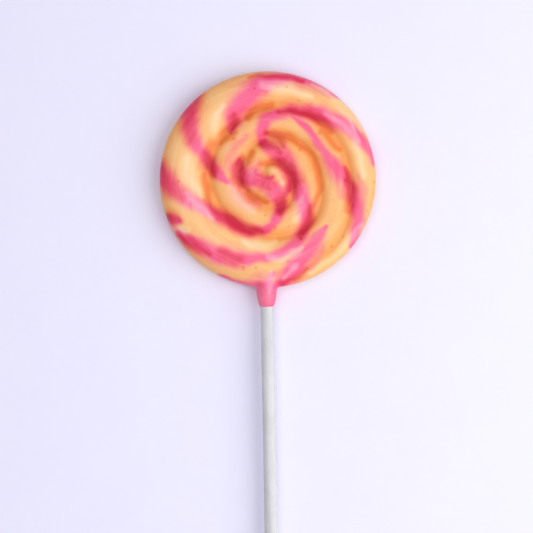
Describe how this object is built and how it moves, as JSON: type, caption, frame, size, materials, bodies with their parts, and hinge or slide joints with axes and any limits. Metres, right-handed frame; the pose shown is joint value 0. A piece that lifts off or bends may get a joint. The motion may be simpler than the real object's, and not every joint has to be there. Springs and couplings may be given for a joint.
{
  "type": "swirl lollipop",
  "caption": "Flat round lollipop coiled from a twisted pink and yellow sugar rope, with a sugar collar on a rolled paper stick, lying on its back.",
  "frame": {"origin": "middle of the round's flat back, on the surface it rests on", "axes": "+Z out of the shown face, +Y from the stick towards the top of the round, +X to the right seen from the front"},
  "size_m": [0.07, 0.177, 0.0089],
  "materials": {
    "candy_sugar": "boiled sugar with a soft gloss, yellow with pink stripes, orange and crimson in the grooves",
    "stick_paper": "matt white rolled paper"
  },
  "bodies": {
    "root": {"candy": "candy_sugar", "stick": "stick_paper"}
  },
  "joints": []
}
